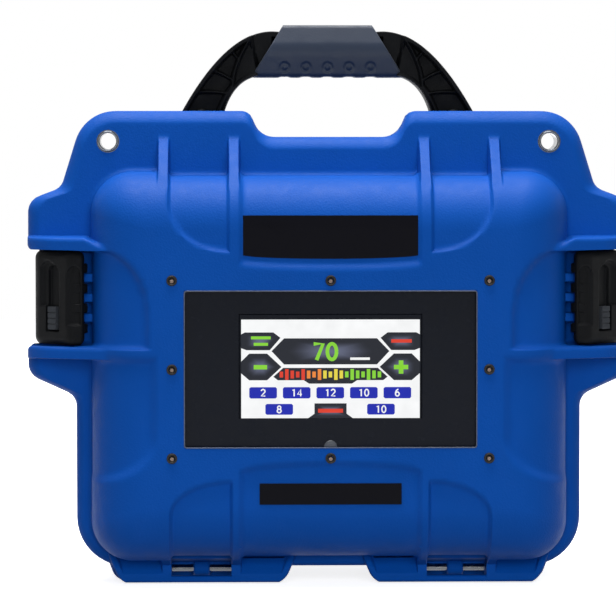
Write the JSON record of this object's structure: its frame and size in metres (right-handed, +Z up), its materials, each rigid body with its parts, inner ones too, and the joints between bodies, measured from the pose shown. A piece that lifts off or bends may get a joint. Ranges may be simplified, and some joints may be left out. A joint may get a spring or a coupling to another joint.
{
  "type": "stud welder",
  "caption": "Upright hard case with a carrying handle, side latches and a lid panel with a touch display, holding a capacitor discharge stud welding power supply.",
  "frame": {"origin": "middle of the footprint on the ground under the hinge feet and skids", "axes": "+X to the right of someone facing the display, +Y to the back, +Z up"},
  "size_m": [0.318, 0.152, 0.296],
  "materials": {
    "case_blue": "fine moulded texture",
    "black_plastic": "moulded",
    "grip_rubber": "soft overmould",
    "seal_rubber": "foam seal",
    "steel": "plated",
    "black_steel": "black oxide",
    "panel_black": "gloss",
    "display": "lit screen",
    "label_black": "film",
    "circuit_board": "solder mask",
    "brass": "machined",
    "aluminium": "sheet",
    "red_plastic": "moulded",
    "black_gloss": "moulded",
    "plated_shell": "nickel plate",
    "can_sleeve": "shrink sleeve",
    "copper": "copper bar",
    "core_steel": "laminated core",
    "winding": "tape",
    "module_epoxy": "epoxy",
    "relay_case": "moulded",
    "resistor_gold": "anodised"
  },
  "bodies": {
    "base": {"base_shell": "case_blue", "base_shoulders": "case_blue", "handle_ears": "case_blue", "connector_tub": "black_plastic", "hinge_pins": "steel", "base_eyelets": "steel", "handle_pins": "steel", "pressure_valve": "black_plastic", "connector_plate": "aluminium", "connector_screws": "steel", "positive_socket": "red_plastic", "positive_contact": "brass", "negative_socket": "black_gloss", "negative_contact": "brass", "gun_socket": "plated_shell", "gun_insert": "black_gloss", "mains_inlet": "black_gloss", "mains_blades": "brass", "switch_frame": "black_gloss", "chassis": "aluminium", "chassis_screws": "steel", "capacitor_1": "can_sleeve", "capacitor_2": "can_sleeve", "capacitor_3": "can_sleeve", "capacitor_4": "can_sleeve", "capacitor_clamp": "aluminium", "positive_bar": "copper", "negative_bar": "copper", "bar_screws": "steel", "positive_strap": "copper", "negative_strap": "copper", "output_strap": "copper", "transformer_core": "core_steel", "transformer_coil": "winding", "heat_sink": "aluminium", "thyristor_module": "module_epoxy", "relay": "relay_case", "charger_board": "circuit_board", "bleed_resistor": "resistor_gold"},
    "lid": {"lid_shell": "case_blue", "lid_shoulders": "case_blue", "case_seal": "seal_rubber", "lid_eyelets": "steel", "latch_pins": "steel", "front_plate": "panel_black", "panel_gasket": "seal_rubber", "lcd_module": "display", "display_board": "circuit_board", "display_standoffs": "brass", "panel_screws": "black_steel", "panel_nuts": "steel", "upper_label": "label_black", "lower_label": "label_black"},
    "left_latch": {"left_latch": "black_plastic"},
    "right_latch": {"right_latch": "black_plastic"},
    "left_lock": {"left_latch_lock": "black_plastic"},
    "right_lock": {"right_latch_lock": "black_plastic"},
    "handle": {"handle_frame": "black_plastic", "handle_grip": "grip_rubber"},
    "rocker": {"switch_rocker": "red_plastic"}
  },
  "joints": [
    {"name": "lid_hinge", "type": "hinge", "parent": "base", "child": "lid", "pos_m": [0, -0.0256, 0.0067], "axis": [1, 0, 0], "range_deg": [0, 100]},
    {"name": "left_latch_hinge", "type": "hinge", "parent": "lid", "child": "left_latch", "pos_m": [-0.1315, -0.0516, 0.15175], "axis": [0, 0, 1], "range_deg": [0, 95]},
    {"name": "right_latch_hinge", "type": "hinge", "parent": "lid", "child": "right_latch", "pos_m": [0.1315, -0.0516, 0.15175], "axis": [0, 0, -1], "range_deg": [0, 95]},
    {"name": "left_lock_slide", "type": "slide", "parent": "left_latch", "child": "left_lock", "axis": [0, 0, 1], "range_m": [0, 0.02]},
    {"name": "right_lock_slide", "type": "slide", "parent": "right_latch", "child": "right_lock", "axis": [0, 0, 1], "range_m": [0, 0.02]},
    {"name": "handle_hinge", "type": "hinge", "parent": "base", "child": "handle", "pos_m": [0, -0.0019, 0.236], "axis": [-1, 0, 0], "range_deg": [0, 90]},
    {"name": "switch_rock", "type": "hinge", "parent": "base", "child": "rocker", "pos_m": [0.073, 0.061, 0.071], "axis": [-1, 0, 0], "range_deg": [0, 18]}
  ]
}
